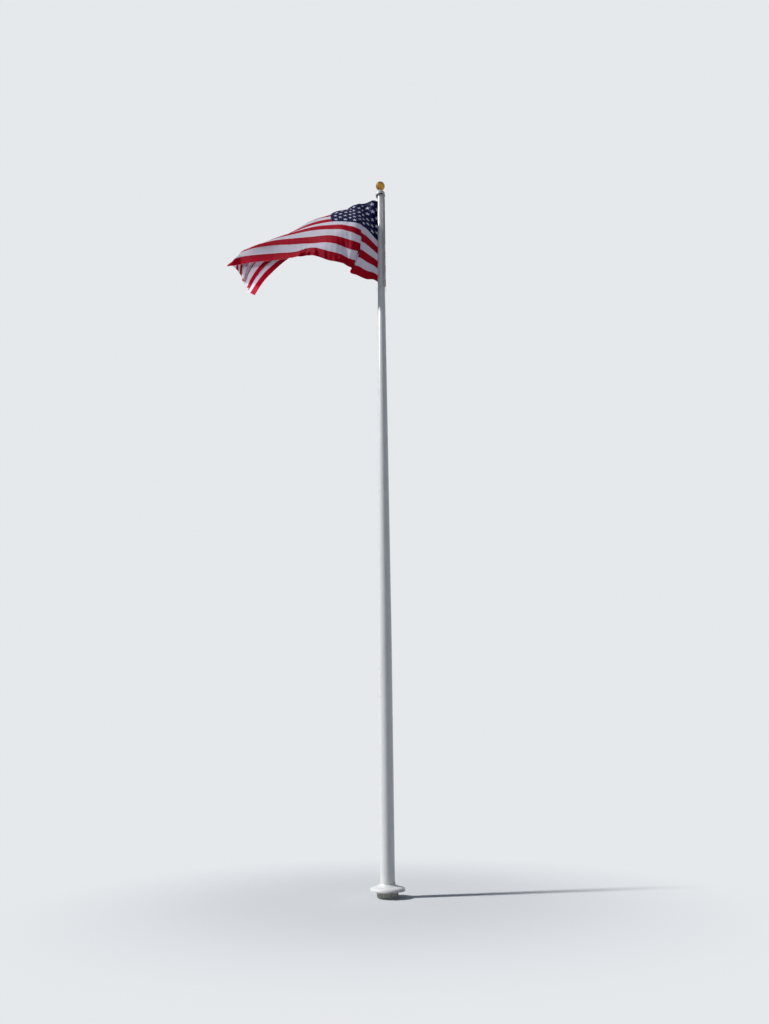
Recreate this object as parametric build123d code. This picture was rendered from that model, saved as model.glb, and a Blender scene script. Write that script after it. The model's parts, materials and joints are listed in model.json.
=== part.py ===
from build123d import *
import math
import os

os.makedirs("parts", exist_ok=True)

# Running and seating clearances
seat_gap = 0.3
bearing_gap = 0.05
swing_gap = 5.0

# Shaft: parallel below, then two tapers
shaft_height = 10620.0
straight_height = 3050.0
waist_height = 7600.0
butt_radius = 89.0
waist_radius = 65.5
tip_radius = 47.5
shaft_wall = 6.0

# Footing at ground level
footing_radius = 143.0
footing_height = 98.0
footing_floor = 20.0
footing_chamfer = 9.0
sleeve_radius = 116.0
sleeve_wall = 2.0
sleeve_rise = 4.0
grout_drop = 7.0

# Base collar
collar_radius = 210.0
collar_rim_height = 77.0
collar_lip = 13.0
collar_rise = 80.0
collar_wall = 2.5
shoulder_inset = 50.0
shoulder_rise = 43.0
caulk_height = 6.0
caulk_reach = 5.0

# Access door on the far side
door_centre_height = 1250.0
door_width = 84.0
door_length = 210.0
door_corner = 14.0
frame_border = 12.0
frame_proud = 2.5
door_gap = 0.6
hinge_radius = 4.5
hinge_length = 120.0
hinge_leaf = 1.5
hinge_reach = 13.0
hinge_corner = 3.0
lock_radius = 9.0
lock_proud = 3.0
lock_drop = 60.0
key_slot_width = 1.6
key_slot_length = 8.0
key_slot_depth = 2.0

# Truck spindle and its bearing
plug_length = 70.0
plug_gap = 1.0
plug_chamfer = 2.0
flange_thickness = 4.0
journal_radius = 16.0
journal_drop = 2.0
spindle_bore = 10.0
washer_radius = 26.0
hub_radius = 27.0
hub_thickness = 7.0

# Sheave and halyard
halyard_radius = 3.2
sheave_pitch_radius = 31.0
sheave_rim = 3.0
sheave_width = 11.0
sheave_floor_gap = 2.0
sheave_pin_radius = 5.0
pin_head_height = 2.5
pin_head_reach = 3.0
halyard_inside = 320.0

# Cheeks and web of the truck frame
cheek_thickness = 3.5
cheek_gap = 1.0
cheek_reach = 14.0
cheek_foot_inset = 4.0
cheek_toe_inset = 16.0
cheek_head_inset = 12.0
cheek_back = 16.0
web_reach = 18.0
web_thickness = 5.0
web_headroom = 20.0

# Cap
cap_radius = 78.0
cap_draft = 2.0
cap_clearance = 2.0
cap_corner = 42.0
cap_corner_drop = 4.0
cap_wall = 3.0
cap_boss_radius = 19.0
cap_boss_flare = 2.0
cap_boss_height = 10.0

# Ball finial
ball_radius = 76.0
ball_wall = 2.0
stem_radius = 6.4
stem_exposed = 23.7
stem_tail = 4.0
stem_grip = 30.0
nut_flat = 19.0
nut_height = 11.0
ball_collar_radius = 15.0
ball_collar_height = 9.0
ball_collar_root = 8.0

# Flag: hoist, fly and where it hangs
flag_hoist = 1829.0
flag_fly = 3475.0
flag_drop = 60.0
flag_thickness = 8.0
header_width = 38.0
header_thickness = 3.0
header_radius = 74.0
halyard_azimuth = 40.0
grommet_inset = 14.0
grommet_bore = 4.6
grommet_tube = 6.0
grommet_flange = 9.0
grommet_plate = 0.8
cloth_gap = 0.6

# Snaps and retainer loop
snap_ring_radius = 8.0
snap_ring_wire = 2.0
snap_barrel_radius = 4.2
snap_barrel_length = 12.0
snap_overlap = 0.8
snap_eye_radius = 7.0
snap_eye_wire = 2.2
gate_radius = 2.3
gate_length = 9.0
splice_radius = 8.0
retainer_wire = 2.2


def save(name, shape):
    """Writes one named piece."""
    shape.label = name
    export_step(shape, "parts/" + name + ".step")


def turned(points, degrees=360):
    """A solid turned about the pole's axis from (radius, height) points."""
    outline = make_face(Plane.XZ * Polyline(*points, close=True))
    return revolve(outline, axis=Axis.Z, revolution_arc=degrees)


def tube(inner, outer, low, high):
    return turned([(inner, low), (outer, low), (outer, high), (inner, high)])


def at_azimuth(shape, degrees=halyard_azimuth):
    """Turns a piece drawn along +X so that it faces an azimuth measured from the front, towards +X."""
    return Rot(Z=degrees - 90) * shape


# Derived places
flange_top = shaft_height + flange_thickness
hub_low = flange_top + swing_gap
hub_high = hub_low + hub_thickness
sheave_radius = sheave_pitch_radius + sheave_rim
sheave_height = hub_high + sheave_floor_gap + sheave_radius
cheek_inner = sheave_width / 2 + cheek_gap
cheek_outer = cheek_inner + cheek_thickness
cap_low = shaft_height + cap_clearance
cap_corner_height = sheave_height - cap_corner_drop
cap_top = cap_corner_height + cap_corner
cap_inside_top = cap_top - cap_wall
boss_top = cap_top + cap_boss_height
nut_low = boss_top + seat_gap
nut_top = nut_low + nut_height
ball_collar_low = nut_top + stem_exposed
ball_low = ball_collar_low + ball_collar_height
ball_centre_height = ball_low + ball_radius
flag_top = shaft_height - flag_drop
header_low = flag_top - flag_hoist
top_grommet_height = flag_top - grommet_inset
low_grommet_height = header_low + grommet_inset


def footing_stub():
    """Rough concrete neck of the footing, cut at ground level, with the socket for the ground sleeve."""
    bore = sleeve_radius + seat_gap
    return turned(
        [
            (0, 0),
            (footing_radius, 0),
            (footing_radius, footing_height - footing_chamfer),
            (footing_radius - footing_chamfer, footing_height),
            (bore, footing_height),
            (bore, footing_floor),
            (0, footing_floor),
        ]
    )


def ground_sleeve():
    low = footing_floor + seat_gap
    return tube(sleeve_radius - sleeve_wall, sleeve_radius, low, footing_height + sleeve_rise)


def grout_ring():
    """Sand and cement packed between the shaft and the sleeve."""
    low = footing_floor + seat_gap
    outer = sleeve_radius - sleeve_wall - seat_gap
    return tube(butt_radius + seat_gap, outer, low, footing_height - grout_drop)


def rounded_window(width, length, corner):
    """A rounded upright block through the far wall of the shaft."""
    outline = RectangleRounded(width, length, corner)
    return Pos(0, 0, door_centre_height) * extrude(Plane.XZ * outline, -2 * butt_radius)


def pole_shaft():
    low = footing_floor + seat_gap
    outer = [
        (butt_radius, low),
        (butt_radius, straight_height),
        (waist_radius, waist_height),
        (tip_radius, shaft_height),
    ]
    inner = [(radius - shaft_wall, height) for radius, height in reversed(outer)]
    border = 2 * (frame_border + seat_gap)
    opening = rounded_window(door_width + border, door_length + border, door_corner + frame_border)
    return turned(outer + inner) - opening


def wall_band(inner, outer):
    """A ring of the shaft's curve over the door's height."""
    return tube(inner, outer, door_centre_height - door_length, door_centre_height + door_length)


def door_frame():
    width = door_width + 2 * frame_border
    length = door_length + 2 * frame_border
    band = wall_band(butt_radius - shaft_wall, butt_radius + frame_proud)
    block = rounded_window(width, length, door_corner + frame_border)
    return band & (block - rounded_window(door_width, door_length, door_corner))


def lock_rod(radius, start, end):
    """A round rod on the lock's axis, from one distance off the pole's axis to another."""
    rod = Pos(0, (start + end) / 2, 0) * Rot(X=90) * Cylinder(radius, end - start)
    return Pos(0, 0, door_centre_height - lock_drop) * rod


def access_door():
    width = door_width - 2 * door_gap
    length = door_length - 2 * door_gap
    band = wall_band(butt_radius - shaft_wall, butt_radius + frame_proud)
    panel = band & rounded_window(width, length, door_corner - door_gap)
    return panel - lock_rod(lock_radius + seat_gap, 0, 2 * butt_radius)


def door_lock():
    """Round lock barrel with a bare key slot."""
    face = butt_radius + frame_proud + lock_proud
    slot = Box(key_slot_width, 2 * key_slot_depth, key_slot_length)
    slot = Pos(0, face, door_centre_height - lock_drop) * slot
    return lock_rod(lock_radius, butt_radius - shaft_wall, face) - slot


def door_hinge():
    """Butt hinge over the joint between door and frame."""
    leaf_inner = butt_radius + frame_proud + seat_gap
    leaf_outer = leaf_inner + hinge_leaf
    joint = -door_width / 2
    leaves = wall_band(leaf_inner, leaf_outer)
    leaves &= rounded_window(door_width + 2 * hinge_reach, hinge_length, hinge_corner)
    strip = Pos(joint, butt_radius, door_centre_height) * Box(2 * hinge_reach, 2 * butt_radius, 2 * hinge_length)
    depth = math.sqrt(leaf_outer ** 2 - joint ** 2)
    barrel = Pos(joint, depth, door_centre_height) * Cylinder(hinge_radius, hinge_length)
    return (leaves & strip) + (barrel - wall_band(butt_radius - shaft_wall, leaf_inner))


def collar_profile(offset):
    """The ogee from lip to neck, moved in from the outside by an offset."""
    lip_top = collar_rim_height + collar_lip
    neck = butt_radius + seat_gap + collar_wall
    start = (collar_radius - offset, lip_top)
    middle = (collar_radius - shoulder_inset - offset / 3, lip_top + shoulder_rise - collar_lip - offset)
    end = (neck - offset, collar_rim_height + collar_rise)
    return Spline(start, middle, end, tangents=[(-0.25, 1), (-0.25, 1)])


def base_collar():
    """Spun collar with a short straight lip, open beneath."""
    outer = collar_profile(0)
    inner = collar_profile(collar_wall)
    low = collar_rim_height
    edges = [
        outer,
        Line(outer @ 1, inner @ 1),
        inner,
        Line(inner @ 0, (collar_radius - collar_wall, low)),
        Line((collar_radius - collar_wall, low), (collar_radius, low)),
        Line((collar_radius, low), outer @ 0),
    ]
    outline = make_face(Plane.XZ * Wire(edges))
    return revolve(outline, axis=Axis.Z)


def collar_seal():
    """Bead of sealant where the collar's neck meets the shaft."""
    low = collar_rim_height + collar_rise + seat_gap
    inner = butt_radius + seat_gap
    return turned([(inner, low), (inner + caulk_reach, low), (inner, low + caulk_height)])


def truck_spindle():
    """Plug in the shaft's end, with a flange and the hollow journal that the truck turns on."""
    plug = tip_radius - shaft_wall - plug_gap
    low = shaft_height - plug_length
    seat = shaft_height + seat_gap
    journal_top = hub_high - journal_drop
    return turned(
        [
            (spindle_bore, low),
            (plug - plug_chamfer, low),
            (plug, low + plug_chamfer),
            (plug, seat),
            (tip_radius, seat),
            (tip_radius, flange_top),
            (journal_radius, flange_top),
            (journal_radius, journal_top),
            (spindle_bore, journal_top),
        ]
    )


def thrust_washer():
    low = flange_top + seat_gap
    return tube(journal_radius + seat_gap, washer_radius, low, hub_low - seat_gap)


def truck_frame():
    """Hub on the journal with the two cheeks that carry the sheave and the cap."""
    journal_room = journal_radius + bearing_gap
    hub = tube(journal_room, hub_radius, hub_low, hub_high)
    reach = sheave_pitch_radius + cheek_reach
    top = cap_inside_top - seat_gap
    outline = [
        (cheek_foot_inset - hub_radius, hub_low),
        (reach - cheek_toe_inset, hub_low),
        (reach, sheave_height),
        (reach - cheek_head_inset, top),
        (-cheek_back, top),
    ]
    cheek = extrude(make_face(Plane.XZ * Polyline(*outline, close=True)), cheek_thickness)
    near = Pos(0, -cheek_inner, 0) * cheek
    far = Pos(0, cheek_outer, 0) * cheek
    web_low = hub_high - hub_thickness / 2
    web_high = cap_inside_top - web_headroom
    web = Box(web_thickness, 2 * cheek_outer, web_high - web_low)
    web = Pos(-web_reach, 0, (web_low + web_high) / 2) * web
    above_hub = tube(0, journal_room, hub_low, hub_high + hub_thickness)
    pin_hole = Rot(X=90) * Cylinder(sheave_pin_radius + seat_gap, 4 * cheek_outer)
    pin_hole = Pos(sheave_pitch_radius, 0, sheave_height) * pin_hole
    return hub + (near + far + web - above_hub) - pin_hole


def truck_sheave():
    """Wheel on its pin, with a groove that opens out from the rope's own round."""
    half = sheave_width / 2
    bore = sheave_pin_radius + bearing_gap
    rope = halyard_radius + seat_gap
    lip = (sheave_radius, 1.4 * rope)
    flank = (sheave_pitch_radius, 1.1 * rope)
    root = (sheave_pitch_radius - 0.7 * rope, 0.78 * rope)
    floor = (sheave_pitch_radius - 1.02 * rope, 0.3 * rope)
    groove = [lip, flank, root, floor]
    low_side = [(radius, -width) for radius, width in groove]
    outline = [(bore, -half), (sheave_radius, -half)] + low_side
    outline += groove[::-1] + [(sheave_radius, half), (bore, half)]
    return Pos(sheave_pitch_radius, 0, sheave_height) * Rot(X=90) * turned(outline)


def sheave_pin():
    """Headed pin through both cheeks."""
    pin = Cylinder(sheave_pin_radius, 2 * (cheek_outer + pin_head_height))
    head = Cylinder(sheave_pin_radius + pin_head_reach, pin_head_height)
    shift = cheek_outer + seat_gap + pin_head_height / 2
    place = Pos(sheave_pitch_radius, 0, sheave_height) * Rot(X=90)
    return place * (pin + Pos(0, 0, shift) * head + Pos(0, 0, -shift) * head)


def truck_cap():
    """Deep rounded cap over the truck, open beneath, with a boss for the finial."""
    centre = (cap_radius - cap_draft - cap_corner, cap_corner_height)
    outer_arc = CenterArc(centre, cap_corner, 0, 90)
    inner_arc = CenterArc(centre, cap_corner - cap_wall, 0, 90)
    bore = stem_radius + seat_gap
    boss_foot = cap_boss_radius + cap_boss_flare
    edges = [
        Line((cap_radius, cap_low), outer_arc @ 0),
        outer_arc,
        Line(outer_arc @ 1, (boss_foot, cap_top)),
        Line((boss_foot, cap_top), (cap_boss_radius, boss_top)),
        Line((cap_boss_radius, boss_top), (bore, boss_top)),
        Line((bore, boss_top), (bore, cap_inside_top)),
        Line((bore, cap_inside_top), inner_arc @ 1),
        inner_arc,
        Line(inner_arc @ 0, (cap_radius - cap_wall, cap_low)),
        Line((cap_radius - cap_wall, cap_low), (cap_radius, cap_low)),
    ]
    outline = make_face(Plane.XZ * Wire(edges))
    return revolve(outline, axis=Axis.Z)


def finial_stem():
    """Threaded rod from the cap's boss into the ball."""
    low = cap_inside_top - stem_tail
    high = ball_low + stem_grip
    return tube(0, stem_radius, low, high)


def stem_nut():
    nut = extrude(RegularPolygon(nut_flat / 2, 6, major_radius=False), nut_height)
    return Pos(0, 0, nut_low) * nut - tube(0, stem_radius + seat_gap, nut_low, nut_top)


def ball_finial():
    """Hollow spun ball with a short collar round the rod."""
    shell = Pos(0, 0, ball_centre_height) * (Sphere(ball_radius) - Sphere(ball_radius - ball_wall))
    collar = tube(0, ball_collar_radius, ball_collar_low, ball_low + ball_collar_root)
    return shell + collar - tube(0, stem_radius + seat_gap, ball_collar_low, ball_centre_height)


# Snap rings sit against the grommets they pull on
half_eyelet = header_thickness / 2 + grommet_plate + 2 * seat_gap
ring_sag = snap_ring_radius - math.sqrt(snap_ring_radius ** 2 - half_eyelet ** 2)
ring_lift = grommet_bore - snap_ring_wire - ring_sag - seat_gap
ring_centre = ring_lift + snap_ring_radius
barrel_low = ring_lift + 2 * snap_ring_radius - snap_overlap
barrel_high = barrel_low + snap_barrel_length + 2 * snap_overlap
eye_rise = ring_lift + 2 * snap_ring_radius + snap_barrel_length + snap_eye_radius
top_eye_height = top_grommet_height + eye_rise
low_eye_height = low_grommet_height - eye_rise


def snap(direction):
    """Swivel snap along the hoist, its ring at the origin's grommet and its eye up or down."""
    ring = Pos(0, 0, direction * ring_centre) * Rot(X=90) * Torus(snap_ring_radius, snap_ring_wire)
    barrel = Cylinder(snap_barrel_radius, barrel_high - barrel_low)
    barrel = Pos(0, 0, direction * (barrel_low + barrel_high) / 2) * barrel
    eye = Pos(0, 0, direction * eye_rise) * Rot(X=90) * Torus(snap_eye_radius, snap_eye_wire)
    gate = Pos(snap_ring_radius, 0, direction * ring_centre) * Cylinder(gate_radius, gate_length)
    return ring + barrel + eye + gate


def flag_snaps():
    top = Pos(header_radius, 0, top_grommet_height) * snap(1)
    low = Pos(header_radius, 0, low_grommet_height) * snap(-1)
    return Compound(children=[at_azimuth(top), at_azimuth(low)])


def halyard():
    """Rope from inside the shaft, up over the sheave and down to the top snap."""
    centre = (sheave_pitch_radius, sheave_height)
    splice_low = top_eye_height + snap_eye_radius - snap_eye_wire - halyard_radius - seat_gap
    rope_end = (header_radius, splice_low + 2 * splice_radius)
    across = rope_end[0] - centre[0]
    down = centre[1] - rope_end[1]
    distance = math.hypot(across, down)
    tangent = math.degrees(math.acos(sheave_pitch_radius / distance))
    lean = tangent - math.degrees(math.atan2(down, across))
    arc = CenterArc(centre, sheave_pitch_radius, 180, lean - 180)
    start = shaft_height - halyard_inside
    rise = Line((0, start), (0, sheave_height))
    path = Plane.XZ * Wire([rise, arc, Line(arc @ 1, rope_end)])
    rope = sweep(Plane(origin=(0, 0, start), z_dir=(0, 0, 1)) * Circle(halyard_radius), path=path)
    splice = Pos(header_radius, 0, splice_low + splice_radius) * Rot(Y=90) * Torus(splice_radius, halyard_radius)
    return at_azimuth(rope + splice)


# Azimuths of the header's two edges
header_start = halyard_azimuth - math.degrees(grommet_inset / header_radius)
header_end = header_start + math.degrees(header_width / header_radius)


def flag_header():
    """Canvas strip along the hoist, following the shaft's curve, with two holes."""
    inner = header_radius - header_thickness / 2
    outer = header_radius + header_thickness / 2
    outline = [(inner, header_low), (outer, header_low), (outer, flag_top), (inner, flag_top)]
    strip = Rot(Z=header_start - 90) * turned(outline, header_end - header_start)
    for height in (top_grommet_height, low_grommet_height):
        hole = Rot(Y=90) * Cylinder(grommet_tube + seat_gap, 2 * grommet_inset)
        strip -= at_azimuth(Pos(header_radius, 0, height) * hole)
    return strip


def flag_grommets():
    """Two brass eyelets."""
    outer = header_radius + header_thickness / 2
    sag = outer - math.sqrt(outer ** 2 - grommet_flange ** 2)
    inner_face = header_radius - header_thickness / 2 - sag - seat_gap
    outer_face = outer + seat_gap
    points = [
        (grommet_bore, inner_face - grommet_plate),
        (grommet_flange, inner_face - grommet_plate),
        (grommet_flange, inner_face),
        (grommet_tube, inner_face),
        (grommet_tube, outer_face),
        (grommet_flange, outer_face),
        (grommet_flange, outer_face + grommet_plate),
        (grommet_bore, outer_face + grommet_plate),
    ]
    eyelet = Rot(Y=90) * turned(points)
    low = at_azimuth(Pos(0, 0, low_grommet_height) * eyelet)
    top = at_azimuth(Pos(0, 0, top_grommet_height) * eyelet)
    return Compound(children=[top, low])


def retainer_loop():
    """Coated cable loop round the shaft that keeps the lower corner in."""
    height = low_eye_height - (snap_eye_radius - snap_eye_wire - retainer_wire - seat_gap)
    return Pos(0, 0, height) * Torus(header_radius, retainer_wire)


# The cloth: where it is measured down the hoist, then how it lies. It goes round the far side of the
# shaft, bellies out to the front, and folds over a crest that runs down to the lower fly corner, so
# that its upper fly corner hangs behind. Each station is a distance along the cloth and its points
# from the top edge to the lower edge. A point is (away from the shaft, back from the axis) in shares
# of the fly, and the drop below the flag's top in shares of the hoist.
hoist_shares = [0, 0.153, 0.306, 0.539, 0.694, 0.847, 0.924, 1]
wrap_azimuths = [100, 145, 190]
leaving_azimuth = 235
leaving_drops = [0.005, 0.143, 0.285, 0.455, 0.606, 0.766, 0.842, 0.911]
cloth_columns = 20
cloth_rows = 8
column_spread = 1.6
free_stations = [
    (500, [(0.071, 0.023, 0.003), (0.071, -0.006, 0.143), (0.070, -0.035, 0.280), (0.069, -0.069, 0.455),
     (0.069, -0.072, 0.639), (0.070, -0.052, 0.797), (0.070, -0.037, 0.864), (0.071, -0.023, 0.936)]),
    (860, [(0.136, 0.035, 0.013), (0.134, -0.009, 0.144), (0.131, -0.052, 0.270), (0.126, -0.104, 0.451),
     (0.123, -0.121, 0.597), (0.121, -0.104, 0.765), (0.126, -0.089, 0.854), (0.135, -0.072, 0.938)]),
    (1100, [(0.172, 0.069, 0.007), (0.174, 0.017, 0.091), (0.180, -0.035, 0.225), (0.176, -0.092, 0.418),
     (0.174, -0.115, 0.546), (0.169, -0.109, 0.725), (0.169, -0.104, 0.812), (0.173, -0.095, 0.882)]),
    (1352, [(0.213, 0.098, 0.093), (0.220, 0.046, 0.067), (0.232, -0.012, 0.197), (0.224, -0.063, 0.366),
     (0.221, -0.098, 0.512), (0.224, -0.104, 0.672), (0.229, -0.098, 0.759), (0.233, -0.086, 0.834)]),
    (1800, [(0.294, 0.121, 0.265), (0.312, 0.095, 0.166), (0.332, 0.040, 0.180), (0.327, -0.014, 0.321),
     (0.325, -0.046, 0.432), (0.320, -0.069, 0.622), (0.320, -0.069, 0.663), (0.324, -0.063, 0.735)]),
    (2200, [(0.376, 0.115, 0.377), (0.403, 0.115, 0.272), (0.425, 0.086, 0.231), (0.426, 0.029, 0.323),
     (0.421, 0.000, 0.397), (0.414, -0.035, 0.569), (0.411, -0.040, 0.670), (0.415, -0.040, 0.722)]),
    (2600, [(0.461, 0.104, 0.503), (0.494, 0.115, 0.432), (0.519, 0.109, 0.366), (0.532, 0.075, 0.347),
     (0.527, 0.037, 0.396), (0.517, 0.000, 0.513), (0.510, -0.009, 0.633), (0.507, -0.014, 0.715)]),
    (2950, [(0.526, 0.086, 0.676), (0.570, 0.106, 0.587), (0.603, 0.115, 0.499), (0.623, 0.095, 0.439),
     (0.630, 0.063, 0.455), (0.624, 0.029, 0.507), (0.614, 0.014, 0.604), (0.604, 0.000, 0.715)]),
    (3220, [(0.571, 0.075, 0.819), (0.616, 0.101, 0.741), (0.646, 0.118, 0.641), (0.666, 0.109, 0.575),
     (0.681, 0.081, 0.540), (0.689, 0.049, 0.552), (0.686, 0.029, 0.604), (0.669, 0.009, 0.725)]),
    (3437, [(0.606, 0.069, 0.976), (0.644, 0.098, 0.877), (0.664, 0.121, 0.782), (0.676, 0.121, 0.726),
     (0.685, 0.101, 0.695), (0.697, 0.063, 0.690), (0.715, 0.029, 0.666), (0.728, 0.006, 0.741)]),
]


def wrap_station(azimuth, drops):
    """A station on the shaft's curve, at one azimuth."""
    angle = math.radians(azimuth)
    across = header_radius * math.sin(angle)
    back = -header_radius * math.cos(angle)
    return [Vector(across, back, flag_top - drop * flag_hoist) for drop in drops]


def wrap_stations():
    """From the header round the far side, while the cloth is drawn up to where it leaves the shaft."""
    start = header_end + math.degrees((seat_gap + cloth_gap) / header_radius)
    stations = []
    for azimuth in [start] + wrap_azimuths + [leaving_azimuth]:
        share = (azimuth - start) / (leaving_azimuth - start)
        drops = [down + share * (left - down) for down, left in zip(hoist_shares, leaving_drops)]
        distance = header_radius * math.radians(azimuth - start)
        stations.append((distance, wrap_station(azimuth, drops)))
    return stations


def free_station(points):
    return [Vector(-away * flag_fly, back * flag_fly, flag_top - drop * flag_hoist) for away, back, drop in points]


def slope(knots, values, k):
    low = max(k - 1, 0)
    high = min(k + 1, len(knots) - 1)
    return (values[high] - values[low]) / (knots[high] - knots[low])


def smooth_value(knots, values, place):
    """A value between knots, on a smooth curve through all of them."""
    k = max(index for index, knot in enumerate(knots[:-1]) if knot <= place)
    gap = knots[k + 1] - knots[k]
    t = (place - knots[k]) / gap
    rise = (values[k + 1] - values[k]) * (3 * t ** 2 - 2 * t ** 3)
    leave = slope(knots, values, k) * gap * (t ** 3 - 2 * t ** 2 + t)
    arrive = slope(knots, values, k + 1) * gap * (t ** 3 - t ** 2)
    return values[k] + rise + leave + arrive


def cloth_grid():
    """Points along the cloth, closer together near the shaft, each a row from top to lower edge."""
    stations = wrap_stations() + [(distance, free_station(points)) for distance, points in free_stations]
    knots = [distance for distance, points in stations]
    shares = [row / (cloth_rows - 1) for row in range(cloth_rows)]
    rows = [[smooth_value(hoist_shares, points, share) for distance, points in stations] for share in shares]
    last = cloth_columns - 1
    places = [knots[-1] * (column / last) ** column_spread for column in range(cloth_columns)]
    return [[smooth_value(knots, row, place) for row in rows] for place in places]


def cloth_face(grid, offset):
    """One face of the cloth: a smooth surface at an offset from the grid."""
    points = []
    for i, column in enumerate(grid):
        before = grid[max(i - 1, 0)]
        after = grid[min(i + 1, cloth_columns - 1)]
        line = []
        for j, point in enumerate(column):
            along = after[j] - before[j]
            down = column[min(j + 1, cloth_rows - 1)] - column[max(j - 1, 0)]
            line.append(point + along.cross(down).normalized() * offset)
        points.append(line)
    return Face.make_surface_from_array_of_points(points)


def flag():
    """The cloth as two smooth faces, closed round its edges."""
    grid = cloth_grid()
    front = cloth_face(grid, flag_thickness / 2)
    back = cloth_face(grid, -flag_thickness / 2)
    edges = []
    for edge in front.edges():
        facing = min(back.edges(), key=lambda other: (other @ 0.5 - edge @ 0.5).length)
        edges.append(Face.make_surface_from_curves(edge, facing))
    return Solid(Shell([front, back] + edges))


pieces = {
    "footing_stub": footing_stub,
    "ground_sleeve": ground_sleeve,
    "grout_ring": grout_ring,
    "pole_shaft": pole_shaft,
    "door_frame": door_frame,
    "access_door": access_door,
    "door_lock": door_lock,
    "door_hinge": door_hinge,
    "base_collar": base_collar,
    "collar_seal": collar_seal,
    "truck_spindle": truck_spindle,
    "thrust_washer": thrust_washer,
    "truck_frame": lambda: at_azimuth(truck_frame()),
    "truck_sheave": lambda: at_azimuth(truck_sheave()),
    "sheave_pin": lambda: at_azimuth(sheave_pin()),
    "truck_cap": truck_cap,
    "finial_stem": finial_stem,
    "stem_nut": stem_nut,
    "ball_finial": ball_finial,
    "halyard": halyard,
    "flag_snaps": flag_snaps,
    "flag_header": flag_header,
    "flag_grommets": flag_grommets,
    "retainer_loop": retainer_loop,
    "flag": flag,
}

for name, make in pieces.items():
    save(name, make())
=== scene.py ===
import bpy
import json
import math
import numpy as np
from mathutils import Matrix, Vector, noise


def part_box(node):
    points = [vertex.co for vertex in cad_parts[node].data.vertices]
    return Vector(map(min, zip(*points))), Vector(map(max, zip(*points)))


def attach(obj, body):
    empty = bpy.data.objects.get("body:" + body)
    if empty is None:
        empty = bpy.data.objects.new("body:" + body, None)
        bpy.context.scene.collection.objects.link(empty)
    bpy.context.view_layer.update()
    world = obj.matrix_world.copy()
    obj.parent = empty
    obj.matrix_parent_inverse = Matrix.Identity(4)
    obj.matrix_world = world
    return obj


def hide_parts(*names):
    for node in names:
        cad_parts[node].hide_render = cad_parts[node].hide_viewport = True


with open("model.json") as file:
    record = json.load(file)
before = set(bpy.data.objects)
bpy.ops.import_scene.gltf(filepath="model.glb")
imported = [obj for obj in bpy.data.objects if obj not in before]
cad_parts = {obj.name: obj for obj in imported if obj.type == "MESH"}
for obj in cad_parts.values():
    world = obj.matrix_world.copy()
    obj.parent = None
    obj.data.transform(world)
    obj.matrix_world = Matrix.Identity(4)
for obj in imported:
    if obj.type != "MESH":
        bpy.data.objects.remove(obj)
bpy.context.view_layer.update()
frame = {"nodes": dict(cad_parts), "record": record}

nodes = frame["nodes"]
scene = bpy.context.scene
scene.view_settings.view_transform = "Standard"
print("frame loaded,", len(nodes), "nodes")


def deselectAll():
    for thing in list(bpy.context.selected_objects):
        thing.select_set(False)


# node helpers

def link(tree, source, target):
    tree.links.new(source, target)


def feed(tree, value, socket):
    # another node's socket is linked, a plain value is set
    if isinstance(value, bpy.types.NodeSocket):
        link(tree, value, socket)
    else:
        socket.default_value = value


def addNode(tree, kind, **values):
    made = tree.nodes.new("ShaderNode" + kind)
    for label, value in values.items():
        made.inputs[label].default_value = value
    return made


def calc(tree, kind, a, b=None, clamp=False):
    made = addNode(tree, "Math")
    made.operation = kind
    made.use_clamp = clamp
    feed(tree, a, made.inputs[0])
    if b is not None:
        feed(tree, b, made.inputs[1])
    return made.outputs[0]


def add(tree, a, b):
    return calc(tree, "ADD", a, b)


def minus(tree, a, b):
    return calc(tree, "SUBTRACT", a, b)


def times(tree, a, b):
    return calc(tree, "MULTIPLY", a, b)


def larger(tree, a, b):
    return calc(tree, "MAXIMUM", a, b)


def over(tree, value, limit):
    return calc(tree, "GREATER_THAN", value, limit)


def under(tree, value, limit):
    return calc(tree, "LESS_THAN", value, limit)


def mapRange(tree, value, low, high, newLow=0.0, newHigh=1.0, smooth=False):
    made = addNode(tree, "MapRange")
    if smooth:
        made.interpolation_type = "SMOOTHSTEP"
    labels = ("Value", "From Min", "From Max", "To Min", "To Max")
    for label, given in zip(labels, (value, low, high, newLow, newHigh)):
        feed(tree, given, made.inputs[label])
    return made.outputs[0]


def noiseTexture(tree, vector, scale, detail, roughness):
    made = addNode(tree, "TexNoise", Detail=detail, Roughness=roughness)
    link(tree, vector, made.inputs["Vector"])
    feed(tree, scale, made.inputs["Scale"])
    return made.outputs[0]


def waveBands(tree, vector, direction, scale, bend=0):
    made = addNode(tree, "TexWave", Scale=scale, Distortion=bend)
    made.bands_direction = direction
    link(tree, vector, made.inputs["Vector"])
    return made.outputs["Fac"]


def colorMix(tree, mask, first, second):
    made = addNode(tree, "Mix")
    made.data_type = "RGBA"
    feed(tree, mask, made.inputs[0])
    for socket, color in zip(made.inputs[6:8], (first, second)):
        feed(tree, (*color, 1) if isinstance(color, tuple) else color, socket)
    return made.outputs[2]


def shaderMix(tree, mask, first, second):
    made = addNode(tree, "MixShader")
    for socket, value in zip(made.inputs, (mask, first, second)):
        feed(tree, value, socket)
    return made.outputs[0]


def splitVector(tree, vector):
    made = addNode(tree, "SeparateXYZ")
    link(tree, vector, made.inputs[0])
    return made.outputs


def newGroup(name, takes, gives):
    group = bpy.data.node_groups.new(name, "ShaderNodeTree")
    for label, kind, value in takes:
        kind = "NodeSocket" + kind
        socket = group.interface.new_socket(label, in_out="INPUT", socket_type=kind)
        if value is not None:
            socket.default_value = value
    for label, kind in gives:
        group.interface.new_socket(label, in_out="OUTPUT", socket_type="NodeSocket" + kind)
    start = group.nodes.new("NodeGroupInput")
    end = group.nodes.new("NodeGroupOutput")
    return group, start.outputs, end.inputs


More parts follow.
